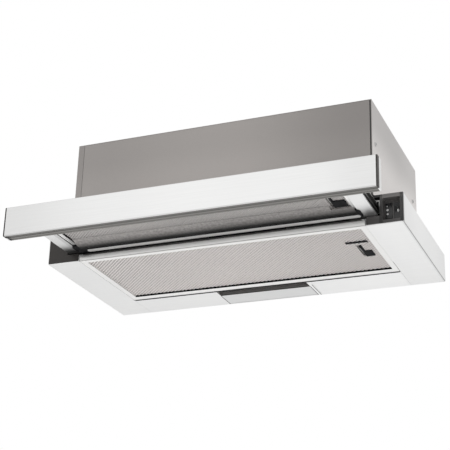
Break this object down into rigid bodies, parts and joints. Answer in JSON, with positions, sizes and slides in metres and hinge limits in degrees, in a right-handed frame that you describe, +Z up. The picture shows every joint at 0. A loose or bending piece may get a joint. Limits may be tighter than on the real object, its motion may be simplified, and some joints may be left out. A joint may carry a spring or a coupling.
{
  "type": "pull_out_cooker_hood",
  "caption": "Pull-out cooker hood in brushed steel, with a sliding filter drawer, ball slides, two rocker switches, a lamp, grease filters and a blower under a top outlet.",
  "frame": {"origin": "middle of the four cabinet screw holes, on the top face of the deck", "axes": "+X to the right seen from the front, +Y towards the wall, +Z up along the outlet"},
  "size_m": [0.598, 0.415, 0.2485],
  "materials": {
    "steel_skin": "fine brushed stainless sheet, grain along the width",
    "zinc_sheet": "silver-grey coated sheet, satin",
    "dark_sheet": "black-coated sheet, satin",
    "bright_steel": "zinc-plated steel, satin",
    "filter_aluminium": "layered expanded aluminium mesh in a folded frame",
    "satin_aluminium": "satin anodised extrusion",
    "dark_plastic": "dark grey moulded plastic, satin",
    "black_gloss": "black moulded plastic, half gloss",
    "black_plastic": "black moulded plastic, matt",
    "white_plastic": "off-white moulded plastic, matt",
    "motor_steel": "laminated steel stack with varnish",
    "frosted_glass": "frosted glass candle bulb",
    "frosted_plastic": "translucent frosted plastic"
  },
  "bodies": {
    "housing": {"lower_shell": "zinc_sheet", "side_cover_left": "steel_skin", "side_cover_right": "steel_skin", "rear_strip": "steel_skin", "rail_bracket_left": "dark_sheet", "rail_bracket_right": "dark_sheet", "corner_cap_left": "dark_plastic", "control_bezel": "dark_plastic", "casing_shell": "zinc_sheet", "casing_front": "zinc_sheet", "casing_rear": "zinc_sheet", "casing_screws": "bright_steel", "outlet_collar": "black_plastic", "flap_pin": "bright_steel", "scroll_left": "black_plastic", "scroll_right": "black_plastic", "scroll_screws": "bright_steel", "motor": "motor_steel", "motor_bracket": "zinc_sheet", "junction_box": "white_plastic", "junction_lid": "white_plastic", "cable_gland": "black_plastic", "capacitor": "white_plastic", "switch_bodies": "black_plastic", "lamp_tray": "zinc_sheet", "lamp_socket": "white_plastic", "lamp_bulb": "frosted_glass", "lamp_hinge_pin": "bright_steel", "filter_frame": "filter_aluminium", "filter_mesh": "filter_aluminium", "filter_spring": "bright_steel", "rail_outer_left": "bright_steel", "rail_outer_right": "bright_steel", "rail_screws": "bright_steel"},
    "drawer": {"drawer_front": "steel_skin", "front_grip": "dark_plastic", "front_cap_left": "dark_plastic", "front_cap_right": "dark_plastic", "front_angle": "bright_steel", "member_left": "steel_skin", "member_right": "steel_skin", "rail_inner_left": "bright_steel", "rail_inner_right": "bright_steel", "rear_trim": "dark_plastic", "rear_bar": "satin_aluminium", "drawer_filter_frame": "filter_aluminium", "drawer_filter_mesh": "filter_aluminium", "drawer_spring": "bright_steel", "drawer_screws": "bright_steel"},
    "cage_left": {"ball_cage_left": "bright_steel"},
    "cage_right": {"ball_cage_right": "bright_steel"},
    "fan_switch": {"fan_rocker": "black_gloss"},
    "light_switch": {"light_rocker": "black_gloss"},
    "fixed_filter_latch": {"filter_latch": "black_gloss"},
    "drawer_filter_latch": {"drawer_latch": "black_gloss"},
    "blower_wheel": {"impeller": "black_plastic", "motor_shaft": "bright_steel"},
    "front_flap": {"flap_front": "black_plastic"},
    "rear_flap": {"flap_rear": "black_plastic"},
    "lamp_door": {"lamp_cover": "frosted_plastic"}
  },
  "joints": [
    {"name": "drawer_slide", "type": "slide", "parent": "housing", "child": "drawer", "axis": [0, -1, 0], "range_m": [-0.1195, 0]},
    {"name": "cage_left_slide", "type": "slide", "parent": "housing", "child": "cage_left", "axis": [0, -1, 0], "range_m": [-0.06, 0.001]},
    {"name": "cage_right_slide", "type": "slide", "parent": "housing", "child": "cage_right", "axis": [0, -1, 0], "range_m": [-0.06, 0.001]},
    {"name": "fan_switch_tilt", "type": "hinge", "parent": "housing", "child": "fan_switch", "pos_m": [0.2742, -0.121, -0.02375], "axis": [1, 0, 0], "range_deg": [-8, 8]},
    {"name": "light_switch_tilt", "type": "hinge", "parent": "housing", "child": "light_switch", "pos_m": [0.2872, -0.121, -0.02375], "axis": [1, 0, 0], "range_deg": [-16, 0]},
    {"name": "fixed_filter_latch_slide", "type": "slide", "parent": "housing", "child": "fixed_filter_latch", "axis": [-1, 0, 0], "range_m": [0, 0.004], "stiffness_N_per_m": 300, "springref_m": -0.003, "deforming": ["filter_spring"]},
    {"name": "drawer_filter_latch_slide", "type": "slide", "parent": "drawer", "child": "drawer_filter_latch", "axis": [-1, 0, 0], "range_m": [0, 0.004], "stiffness_N_per_m": 300, "springref_m": -0.003, "deforming": ["drawer_spring"]},
    {"name": "blower_spin", "type": "hinge", "parent": "housing", "child": "blower_wheel", "pos_m": [0, -0.0375, 0.0895], "axis": [1, 0, 0], "continuous": true},
    {"name": "front_flap_hinge", "type": "hinge", "parent": "housing", "child": "front_flap", "pos_m": [0, 0.0265, 0.1747], "axis": [-1, 0, 0], "range_deg": [0, 78]},
    {"name": "rear_flap_hinge", "type": "hinge", "parent": "housing", "child": "rear_flap", "pos_m": [0, 0.0265, 0.1747], "axis": [1, 0, 0], "range_deg": [0, 78]},
    {"name": "lamp_cover_hinge", "type": "hinge", "parent": "housing", "child": "lamp_door", "pos_m": [-0.0035, 0.13, -0.0445], "axis": [1, 0, 0], "range_deg": [0, 80]}
  ],
  "couplings": [
    {"joint": "cage_left_slide", "follows": "drawer_slide", "ratio": 0.5},
    {"joint": "cage_right_slide", "follows": "drawer_slide", "ratio": 0.5}
  ]
}
